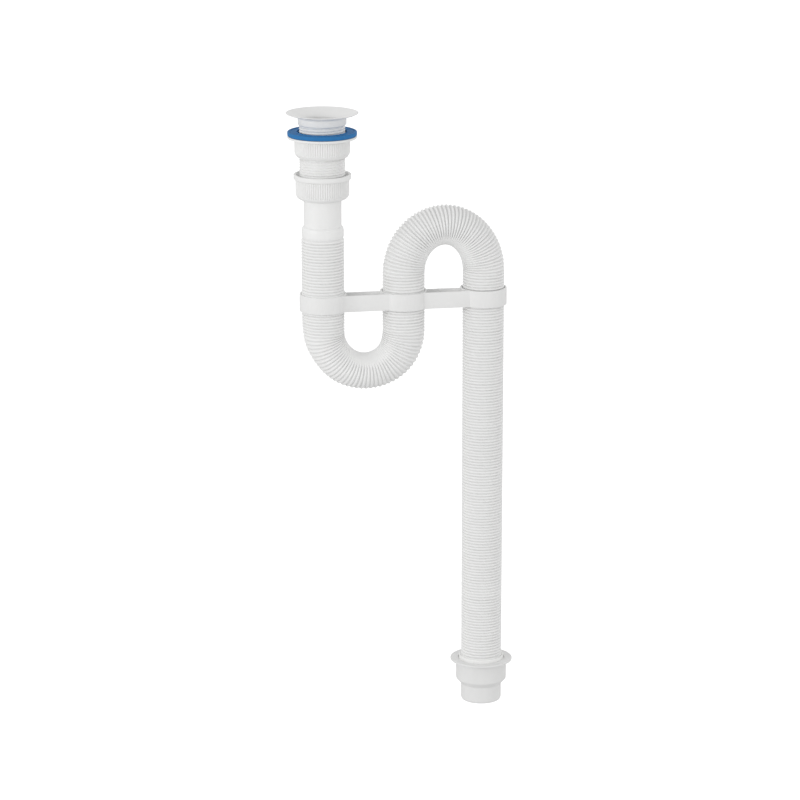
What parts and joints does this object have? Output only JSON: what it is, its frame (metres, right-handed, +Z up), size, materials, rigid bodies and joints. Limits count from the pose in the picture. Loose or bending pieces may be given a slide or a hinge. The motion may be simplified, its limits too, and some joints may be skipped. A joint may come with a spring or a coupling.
{
  "type": "flexible sink trap",
  "caption": "Sink waste with strainer, flexible S-shaped folded hose held in a bracket to keep a water seal, ribbed nuts and a stepped outlet spigot.",
  "frame": {"origin": "on the axis of the waste tail, in the plane where the underside of the waste flange meets the sink", "axes": "+Z up along the waste tail; +X from the inlet limb of the hose towards the outlet limb; +Y to the back"},
  "size_m": [0.2233, 0.07, 0.5981],
  "materials": {
    "waste_plastic": "satin white polypropylene",
    "nut_plastic": "satin white polypropylene",
    "hose_plastic": "satin white blow-moulded polypropylene",
    "bracket_plastic": "satin white polypropylene",
    "outlet_plastic": "satin off-white polypropylene",
    "pale_seal": "soft white elastomer",
    "blue_rubber": "soft blue rubber",
    "seal_rubber": "soft black rubber"
  },
  "bodies": {
    "trap": {"waste_flange": "waste_plastic", "trap_hose": "hose_plastic", "hose_bracket": "bracket_plastic"},
    "gasket": {"sink_gasket": "blue_rubber"},
    "clamp": {"flange_nut": "nut_plastic"},
    "seal": {"inlet_seal": "seal_rubber"},
    "coupling": {"coupling_nut": "nut_plastic"},
    "outlet": {"outlet_reducer": "outlet_plastic", "outlet_seal": "pale_seal"}
  },
  "joints": [
    {"name": "gasket_travel", "type": "slide", "parent": "trap", "child": "gasket", "axis": [0, 0, 1], "range_m": [-0.0125, 0.01]},
    {"name": "flange_nut_turn", "type": "hinge", "parent": "gasket", "child": "clamp", "pos_m": [0, 0, -0.0204], "axis": [0, 0, 1], "range_deg": [-1800, 1440]},
    {"name": "seal_travel", "type": "slide", "parent": "trap", "child": "seal", "axis": [0, 0, 1], "range_m": [-0.0125, 0]},
    {"name": "coupling_nut_turn", "type": "hinge", "parent": "seal", "child": "coupling", "pos_m": [0, 0, -0.0794], "axis": [0, 0, 1], "range_deg": [-1800, 0]},
    {"name": "outlet_reach", "type": "slide", "parent": "trap", "child": "outlet", "axis": [0, 0, -1], "range_m": [0, 0.2], "deforming": ["trap_hose"]}
  ],
  "couplings": [
    {"joint": "flange_nut_turn", "follows": "gasket_travel", "rad_per_m": 2513.3},
    {"joint": "coupling_nut_turn", "follows": "seal_travel", "rad_per_m": 2513.3}
  ]
}
